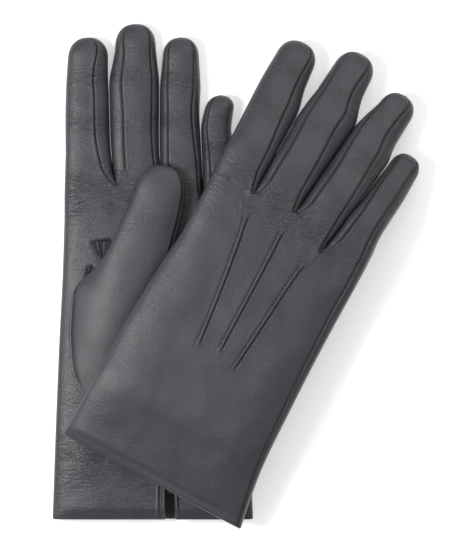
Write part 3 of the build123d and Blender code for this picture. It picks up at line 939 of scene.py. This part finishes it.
def thumb_form(glove, inset=0.0, rows=130, around=80):
    """The thumb as rows of closed outlines, with its places in the plan and the marks that darken its colour
    at its seams and creases, partly as dark joints and partly as painted shade.
    """
    table = np.array(THUMB_STOPS)
    run = np.concatenate([[0], np.cumsum(np.hypot(*np.diff(table[:, :2], axis=0).T))])
    read = lambda column, at: smooth_line(list(zip(run, table[:, column])), at)
    total = run[-1]
    closing = 0.88 + 0.12 * np.sin(np.linspace(0, np.pi / 2, 25))[1:]
    t = np.concatenate([np.linspace(0.0, 0.88, rows - 24), closing])
    at = t * total
    cx, cy = read(0, at), read(1, at)
    near, far, mid, rise, sharp_near, sharp_far, deep = (read(k, at)[:, None] for k in range(2, 9))
    tip = np.clip((t - 0.88) / 0.12, 0, 1)
    close_w, close_h = (1 - tip**2.3) ** (1 / 2.3), (1 - tip**2.2) ** (1 / 2.2)
    start = smoothstep(0, 0.06, t)
    close_w, close_h, start = close_w[:, None], close_h[:, None], start[:, None]
    near, far = (w * close_w * (0.15 + 0.85 * start) - inset * close_w for w in (near, far))
    rise, deep = (rise - inset) * close_h, (deep - inset) * close_h
    tangent = np.stack([np.gradient(cx), np.gradient(cy)], -1)
    tangent /= np.linalg.norm(tangent, axis=1, keepdims=True)
    angle = np.linspace(0, 2 * np.pi, around + 1)
    u = thumb_turn(angle)[None] * np.ones_like(at)[:, None]
    upper = angle[None] <= np.pi
    half = np.where(u < 0, near, far)
    top = rise * (1 - np.abs(u) ** 2.3) ** np.where(u < 0, sharp_near, sharp_far)
    bottom = -deep * (1 - np.abs(u) ** 2.3) ** 0.42
    z = mid + np.where(upper, top, bottom)
    wear = np.zeros(u.shape + (3,))
    if not inset:
        # The sewn side of the thumb, with the panel's lifted edge.
        seam = (0.9 - u) * half
        free = smoothstep(0.42, 0.5, t)[:, None] * (1 - smoothstep(0.5, 1.0, tip))[:, None]
        z = z + np.where(upper, seam_relief(seam), 0) * free
        # The seam darkens the colour: partly the dark joint, partly painted shade.
        wear[..., 0] = bell(seam, SEAM_SPREAD) * free * upper
        # The rounded end of the thumb's leather is sewn into the hole in the palm.
        base = 1 - smoothstep(0.44, 0.5, t)[:, None]
        rim = (1 - np.abs(u)) * half
        z = z + np.where(upper, 0.8 * (1 - bell(rim, 1.6)) - 0.55, 0) * base
        # The rim seam darkens the colour the same way: partly the dark joint, partly painted shade.
        wear[..., 0] = np.maximum(wear[..., 0], bell(rim, 1.0) * base * upper)
    x = cx[:, None] + tangent[:, 1:2] * u * half
    y = cy[:, None] - tangent[:, 0:1] * u * half
    face = 1 if glove.palm_up else -1
    if not inset:
        pts = np.stack([x, y, z], -1)
        z = z + np.where(upper, 0.3 * soft_noise(pts, 16.0, 7.3), 0)
        # Creases at the thumb's joint, darkened with painted shade.
        wear[..., 1] = 0.35 * bell(y - 150, 10) * upper
    return x, y, z * face, wear


def blend_thumb(piece, glove):
    start = Vector(glove.world(np.array(-27.0), np.array(72.0), np.array(8.0)))
    end = Vector(glove.world(np.array(-17.0), np.array(118.0), np.array(8.0)))
    end.z = start.z
    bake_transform(piece)


def thumb_piece(glove, name, node, bm, material):
    piece = add_piece(f"{glove.side}_{name}", bm, material)
    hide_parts(f"{glove.side}_{node}")
    blend_thumb(piece, glove)


def build_thumb(glove):
    for name, node, material, slot, form in (
        ("thumb_leather", "thumb_shell", "nappa_leather", "leather", {}),
        ("thumb_knit", "thumb_lining", "knitted_lining", "lining", {"inset": 1.4, "rows": 60, "around": 40}),
    ):
        x, y, z, wear = thumb_form(glove, **form)
        bm = bmesh.new()
        verts = grid_mesh(bm, glove.world(x, y, z))
        if slot == "leather":
            store(bm, verts, np.stack([x, y, z], -1) * MM, wear)
        close_up(bm)
        bmesh.ops.recalc_face_normals(bm, faces=bm.faces[:])
        thumb_piece(glove, name, node, bm, material)


# The edge of the hole in the palm that the thumb is sewn into.
THUMB_HOLE = (
    (-34.8, 122.6), (-37.6, 119.6), (-40.6, 114), (-41.9, 104), (-42.3, 94), (-41.6, 80), (-39.6, 69.6),
    (-35.9, 62.2),
)


def build_thumb_threads(glove):
    x, y, z, _ = thumb_form(glove)
    around = x.shape[1] - 1
    face = 1 if glove.palm_up else -1
    u = thumb_turn(np.linspace(0, 2 * np.pi, around + 1))
    column = int(np.argmin(np.abs(u[: around // 2] - 0.82)))
    bm = bmesh.new()
    first, last = int(0.46 * len(x)), int(0.9 * len(x))
    path = glove.world(x[first:last, column], y[first:last, column], z[first:last, column] + 0.05 * face)
    sew(bm, path, [(0, 0, face)] * len(path))
    share = np.linspace(0, 1, 60)
    hole_x, hole_y = (evenly([p[k] for p in THUMB_HOLE], share) for k in (0, 1))
    lay_on_hand(bm, glove, hole_x - 0.9, hole_y, face, lift=0.02)
    thumb_piece(glove, "thumb_threads", "thumb_seam", bm, "sewing_thread")


def build_quirk(glove):
    """The folded gusset between the thumb and the palm, seen as strips of leather in two small pockets,
    darkened with painted shade except on the folds.
    """
    face = 1 if glove.palm_up else -1
    bm = bmesh.new()
    for corners, deep in QUIRK_POCKETS:
        a, b, c = (np.array(p, float) for p in corners)
        middle = (a + b + c) / 3
        a, b, c = (middle + (p - middle) * 0.92 for p in (a, b, c))
        p, q = np.meshgrid(np.linspace(0, 1, 30), np.linspace(0, 1, 30))
        place = a + (b - a) * (p * (1 - 0.9 * q))[..., None] + (c - a) * q[..., None]
        x, y = place[..., 0], place[..., 1]
        fold = bell(p - 0.24, 0.13) + 0.55 * bell(p - 0.62, 0.1)
        z = glove.height_at(x, y, face) - deep + 0.25 + (deep - 0.7) * fold * smoothstep(0.0, 0.2, q + 0.12)
        z = z - 0.9 * (1 - smoothstep(0.0, 0.1, np.minimum(p, 1 - p)))
        verts = grid_mesh(bm, glove.world(x, y, z * face))
        wear = np.zeros(x.shape + (3,))
        # Painted shade inside the pocket, left off the folds so that they look lit.
        wear[..., 0] = np.clip(0.75 - 0.75 * fold, 0, 1)
        store(bm, verts, np.stack([x, y, z * face], -1) * MM, wear)
    bmesh.ops.recalc_face_normals(bm, faces=bm.faces[:])
    bmesh.ops.reverse_faces(bm, faces=[f for f in bm.faces if f.normal.z * face < 0])
    hand_piece(glove, "thumb_quirk_fold", "thumb_quirk", bm, "nappa_leather")


# Materials.


class Wire:
    """A value in a shader. Arithmetic on it adds Math nodes."""

    def __init__(self, shader, socket):
        self.shader = shader
        self.socket = socket

    def math(self, operation, *values, clamp=False):
        node = self.shader.tree.nodes.new("ShaderNodeMath")
        node.operation = operation
        node.use_clamp = clamp
        for socket, value in zip(node.inputs, values):
            self.shader.feed(socket, value)
        return Wire(self.shader, node.outputs[0])

    def __add__(self, other):
        return self.math("ADD", self, other)

    def __sub__(self, other):
        return self.math("SUBTRACT", self, other)

    def __rsub__(self, other):
        return self.math("SUBTRACT", other, self)

    def __mul__(self, other):
        return self.math("MULTIPLY", self, other)

    __radd__ = __add__
    __rmul__ = __mul__

    def size(self):
        return self.math("ABSOLUTE", self)

    def clamped(self):
        return self.math("ADD", self, 0.0, clamp=True)


class Shader:
    """A material with one Principled BSDF and short ways to add nodes to it."""

    def __init__(self, name):
        self.material = bpy.data.materials.new(name)
        self.material.use_nodes = True
        self.tree = self.material.node_tree
        self.surface = self.tree.nodes["Principled BSDF"]

    def feed(self, socket, value):
        if isinstance(value, Wire):
            self.tree.links.new(value.socket, socket)
        else:
            socket.default_value = value

    def add(self, kind, settings=None, output=0, **inputs):
        """Adds a node, sets it up, fills its sockets by name and returns one of its outputs."""
        node = self.tree.nodes.new(f"ShaderNode{kind}")
        for key, value in (settings or {}).items():
            setattr(node, key, value)
        for key, value in inputs.items():
            self.feed(node.inputs[key.replace("_", " ")], value)
        return Wire(self, node.outputs[output])

    def mix(self, factor, first, second):
        node = self.tree.nodes.new("ShaderNodeMix")
        node.data_type = "RGBA"
        for index, value in ((0, factor), (6, first), (7, second)):
            self.feed(node.inputs[index], value)
        return Wire(self, node.outputs[2])

    def set(self, **sockets):
        for key, value in sockets.items():
            self.feed(self.surface.inputs[key.replace("_", " ")], value)

    def bump(self, height, distance, strength=1.0, below=None):
        inputs = {"Height": height, "Distance": distance, "Strength": strength}
        if below is not None:
            inputs["Normal"] = below
        return self.add("Bump", **inputs)


def nappa_leather(look):
    """Smooth glove leather: fine pores, faint cloudy colour, creases where it is worn with painted shade in
    them, and seams darkened partly as dark joints and partly with painted shade.
    """
    s = Shader("nappa_leather")
    place = s.add("TexCoord", output=3)
    flat = s.add("Attribute", {"attribute_name": "flat"}, output=1)
    # Marks that darken the colour: at seams partly the dark joint and partly painted shade, in the quirk's
    # pockets and in creases painted shade.
    wear = s.add("Attribute", {"attribute_name": "wear"}, output=1)
    parts = s.tree.nodes.new("ShaderNodeSeparateXYZ")
    s.tree.links.new(wear.socket, parts.inputs[0])
    seam, crease = Wire(s, parts.outputs[0]), Wire(s, parts.outputs[1])

    cloud = s.add("TexNoise", Vector=place, Scale=55.0, Detail=4.0, Roughness=0.6)
    grain = s.add("TexNoise", Vector=place, Scale=2300.0, Detail=3.0, Roughness=0.7)
    pores = s.add("TexVoronoi", Vector=place, Scale=2000.0)

    # Creases run across the glove, so their pattern is stretched that way. They follow one level of a noise.
    patchy = s.add("TexNoise", Vector=flat, Scale=75.0, Detail=2.0)
    creased = 0.0
    for across, along, fine in ((70.0, 330.0, 9.0), (160.0, 720.0, 7.0)):
        stretched = s.add("Mapping", Vector=flat, Scale=(across, along, 60.0))
        level = s.add("TexNoise", Vector=stretched, Scale=1.0, Detail=2.0, Distortion=0.4)
        creased = creased + (1 - (level - 0.5).size() * fine).clamped()
    creased = (creased * crease * (patchy * 2.4 - 0.7).clamped()).clamped()

    tint = s.mix((cloud * 1.6 - 0.3).clamped(), (*look.leather_dark, 1), (*look.leather_light, 1))
    # Seams, grooves and stitch rows darken: partly their dark joint, partly painted shade; inside the quirk's
    # pockets it is painted shade only.
    tint = s.mix((seam * 0.62).clamped(), tint, (*[c * 0.22 for c in look.leather_dark], 1))
    # Painted shade in the creases.
    tint = s.mix((creased * 0.5).clamped(), tint, (*[c * 0.55 for c in look.leather_dark], 1))
    rough = look.roughness + (grain - 0.5) * 0.28 + (cloud - 0.5) * 0.16 + seam * 0.12
    fine = s.bump(grain * 0.7 + pores * 0.5, look.grain_depth, 0.75)
    folded = s.bump(1 - creased, look.crease_depth, 0.8, below=fine)
    s.set(Base_Color=tint, Roughness=rough.clamped(), Normal=folded, Specular_IOR_Level=look.specular)
    return s.material


def knitted_lining(look):
    s = Shader("knitted_lining")
    place = s.add("TexCoord", output=3)
    ribs = s.add("TexWave", {"bands_direction": "X"}, Vector=place, Scale=220.0, Distortion=0.6)
    rows = s.add("TexWave", {"bands_direction": "Y"}, Vector=place, Scale=150.0, Distortion=0.4)
    loops = ribs * 0.6 + rows * 0.4
    fuzz = s.add("TexNoise", Vector=place, Scale=1400.0, Detail=2.0)
    tint = s.mix(loops, (0.012, 0.012, 0.014, 1), (0.04, 0.04, 0.045, 1))
    s.set(Base_Color=tint, Roughness=0.9 + fuzz * 0.08, Normal=s.bump(loops + fuzz * 0.4, 0.0004))
    return s.material


def sewing_thread(look):
    s = Shader("sewing_thread")
    place = s.add("TexCoord", output=3)
    twist = s.add("TexWave", {"bands_direction": "DIAGONAL"}, Vector=place, Scale=900.0, Distortion=0.5)
    tint = s.mix(twist, (*[c * 0.7 for c in look.thread], 1), (*look.thread, 1))
    s.set(Base_Color=tint, Roughness=0.55 + twist * 0.15, Normal=s.bump(twist, 0.00008))
    return s.material


def paper_floor(look):
    s = Shader("paper_floor")
    place = s.add("TexCoord", output=3)
    speck = s.add("TexNoise", Vector=place, Scale=400.0, Detail=2.0)
    s.set(Base_Color=(0.93, 0.93, 0.93, 1), Roughness=0.85 + speck * 0.1, Specular_IOR_Level=0.2)
    s.set(Emission_Color=(1, 1, 1, 1), Emission_Strength=0.35)
    return s.material


# The add-on.


class LeatherLook(bpy.types.PropertyGroup):
    leather_dark: FloatVectorProperty(
        name="Leather, darker", description="Darker tone of the nappa", subtype="COLOR", size=3,
        default=(0.026, 0.027, 0.033), min=0, max=1,
    )
    leather_light: FloatVectorProperty(
        name="Leather, lighter", description="Lighter tone of the nappa", subtype="COLOR", size=3,
        default=(0.042, 0.043, 0.050), min=0, max=1,
    )
    thread: FloatVectorProperty(
        name="Thread", description="Colour of the sewing thread", subtype="COLOR", size=3,
        default=(0.012, 0.013, 0.018), min=0, max=1,
    )
    roughness: FloatProperty(
        name="Roughness", description="Roughness of the leather", default=0.34, min=0, max=1
    )
    specular: FloatProperty(
        name="Gloss", description="Strength of the leather's reflections", default=0.5, min=0, max=1
    )
    grain_depth: FloatProperty(
        name="Grain depth", description="Depth of the pores", default=0.00022, min=0, max=0.001,
        precision=5, unit="LENGTH",
    )
    crease_depth: FloatProperty(
        name="Crease depth", description="Depth of the fine creases", default=0.00035, min=0, max=0.002,
        precision=5, unit="LENGTH",
    )


class SeamSizes(bpy.types.PropertyGroup):
    groove_depth: FloatProperty(
        name="Seam depth", description="Depth of the groove along a seam", default=0.0007, min=0, max=0.002,
        precision=5, unit="LENGTH",
    )
    stitch_pitch: FloatProperty(
        name="Stitch pitch", description="Distance from one stitch to the next", default=0.0017,
        min=0.0008, max=0.004, precision=5, unit="LENGTH",
    )
    thread_width: FloatProperty(
        name="Thread width", description="Width of the thread", default=0.00042, min=0.0001, max=0.001,
        precision=5, unit="LENGTH",
    )


class StudioLook(bpy.types.PropertyGroup):
    key_power: FloatProperty(
        name="Key light", description="Power of the light over the thumb side", default=4.6, min=0,
        unit="POWER",
    )
    fill_power: FloatProperty(
        name="Fill light", description="Power of the light beyond the fingertips", default=9.0, min=0,
        unit="POWER",
    )
    surround: FloatProperty(
        name="Surround", description="Brightness of the studio around", default=0.42, min=0, max=5
    )


class GloveOperator:
    bl_options = {"REGISTER", "UNDO"}
    side: EnumProperty(name="Glove", description="Which glove of the pair", items=SIDE_ITEMS, default="left")

    @property
    def glove(self):
        return GLOVES[self.side]


class GLOVES_OT_materials(bpy.types.Operator):
    """Make the leather, the lining, the thread and the floor's material"""

    bl_idname = "gloves.materials"
    bl_label = "Materials"

    def execute(self, context):
        look = context.scene.glove_leather
        for make in (nappa_leather, knitted_lining, sewing_thread, paper_floor):
            make(look)
        return {"FINISHED"}


class GLOVES_OT_hand(GloveOperator, bpy.types.Operator):
    """Make the leather of the hand"""

    bl_idname = "gloves.hand"
    bl_label = "Hand"

    def execute(self, context):
        build_hand(self.glove)
        return {"FINISHED"}


class GLOVES_OT_cuff(GloveOperator, bpy.types.Operator):
    """Make the turned-in hem and the bindings of the vent"""

    bl_idname = "gloves.cuff"
    bl_label = "Cuff and vent"

    def execute(self, context):
        build_cuff_hem(self.glove)
        build_vent(self.glove)
        return {"FINISHED"}


class GLOVES_OT_fingers(GloveOperator, bpy.types.Operator):
    """Make the panels and the fourchettes of the four fingers"""

    bl_idname = "gloves.fingers"
    bl_label = "Fingers"

    def execute(self, context):
        for i in range(4):
            build_finger(self.glove, i)
        return {"FINISHED"}


class GLOVES_OT_thumb(GloveOperator, bpy.types.Operator):
    """Make the thumb and its quirk"""

    bl_idname = "gloves.thumb"
    bl_label = "Thumb"

    def execute(self, context):
        build_thumb(self.glove)
        build_quirk(self.glove)
        return {"FINISHED"}


class GLOVES_OT_lining(GloveOperator, bpy.types.Operator):
    """Make the knitted lining of the hand and the fingers"""

    bl_idname = "gloves.lining"
    bl_label = "Lining"

    def execute(self, context):
        build_hand_lining(self.glove)
        for i in range(4):
            build_finger_lining(self.glove, i)
        return {"FINISHED"}


class GLOVES_OT_points(GloveOperator, bpy.types.Operator):
    """Make the three points on the back and their thread"""

    bl_idname = "gloves.points"
    bl_label = "Points"

    def execute(self, context):
        build_points(self.glove)
        build_point_threads(self.glove)
        return {"FINISHED"}


class GLOVES_OT_seams(GloveOperator, bpy.types.Operator):
    """Sew the seams of the hand, the fingers and the thumb"""

    bl_idname = "gloves.seams"
    bl_label = "Seams"

    def execute(self, context):
        build_side_seam(self.glove)
        for i in range(4):
            build_finger_threads(self.glove, i)
        build_thumb_threads(self.glove)
        return {"FINISHED"}


def area_light(name, power, size, place, aim):
    light = bpy.data.lights.new(name, "AREA")
    light.energy = power
    light.size = size
    lamp = bpy.data.objects.new(name, light)
    lamp.location = place
    lamp.rotation_euler = (Vector(aim) - Vector(place)).to_track_quat("-Z", "Y").to_euler()
    bpy.context.collection.objects.link(lamp)


class GLOVES_OT_stage(bpy.types.Operator):
    """Make the floor, the lights and the camera"""

    bl_idname = "gloves.stage"
    bl_label = "Stage"

    def execute(self, context):
        look = context.scene.glove_studio
        bm = bmesh.new()
        below = Matrix.Translation((0, 0, -0.0001))
        bmesh.ops.create_grid(bm, x_segments=8, y_segments=8, size=2.0, matrix=below)
        mesh = bpy.data.meshes.new("floor")
        bm.to_mesh(mesh)
        bm.free()
        floor = bpy.data.objects.new("floor", mesh)
        context.collection.objects.link(floor)
        mesh.materials.append(bpy.data.materials["paper_floor"])

        area_light("key_light", look.key_power, 0.26, (-0.47, -0.02, 0.62), (-0.04, 0, 0))
        area_light("fill_light", look.fill_power, 1.2, (0.45, 0.95, 1.15), (0, 0, 0))
        world = bpy.data.worlds.new("studio")
        world.use_nodes = True
        world.node_tree.nodes["Background"].inputs["Color"].default_value = (1, 1, 1, 1)
        world.node_tree.nodes["Background"].inputs["Strength"].default_value = look.surround
        context.scene.world = world
        context.scene.view_settings.view_transform = "Standard"

        camera = bpy.data.cameras.new("camera")
        camera.sensor_fit = "VERTICAL"
        camera.sensor_height = 24.0
        # From the left cuff to the middle of the pair, as seen from straight above.
        middle = (GLOVES["left"].cuff + Vector((42.6, 123.0, 0))) * MM
        distance, field = 2.4, 0.2896
        camera.lens = 24.0 * distance / field
        camera.clip_end = 20
        eye = bpy.data.objects.new("camera", camera)
        eye.location = (middle.x, middle.y, distance)
        context.collection.objects.link(eye)
        context.scene.camera = eye
        return {"FINISHED"}


class GLOVES_PT_panel(bpy.types.Panel):
    bl_label = "Dress gloves"
    bl_idname = "GLOVES_PT_panel"
    bl_space_type = "VIEW_3D"
    bl_region_type = "UI"
    bl_category = "Gloves"

    def draw(self, context):
        column = self.layout.column()
        for operator in OPERATORS:
            column.operator(operator.bl_idname)
        for group in (context.scene.glove_leather, context.scene.glove_seams, context.scene.glove_studio):
            for name in group.__annotations__:
                column.prop(group, name)


OPERATORS = (
    GLOVES_OT_materials,
    GLOVES_OT_hand,
    GLOVES_OT_cuff,
    GLOVES_OT_fingers,
    GLOVES_OT_thumb,
    GLOVES_OT_lining,
    GLOVES_OT_points,
    GLOVES_OT_seams,
    GLOVES_OT_stage,
)
GROUPS = {"glove_leather": LeatherLook, "glove_seams": SeamSizes, "glove_studio": StudioLook}


def register():
    for cls in (*GROUPS.values(), *OPERATORS, GLOVES_PT_panel):
        bpy.utils.register_class(cls)
    for name, group in GROUPS.items():
        setattr(bpy.types.Scene, name, PointerProperty(type=group))


def unregister():
    for name in GROUPS:
        delattr(bpy.types.Scene, name)
    for cls in reversed((*GROUPS.values(), *OPERATORS, GLOVES_PT_panel)):
        bpy.utils.unregister_class(cls)


def main():
    register()
    bpy.ops.gloves.materials()
    for side in GLOVES:
        bpy.ops.gloves.hand(side=side)
        bpy.ops.gloves.cuff(side=side)
        bpy.ops.gloves.fingers(side=side)
        bpy.ops.gloves.thumb(side=side)
        bpy.ops.gloves.lining(side=side)
        bpy.ops.gloves.points(side=side)
        bpy.ops.gloves.seams(side=side)
    bpy.ops.gloves.stage()


if __name__ == "__main__":
    main()
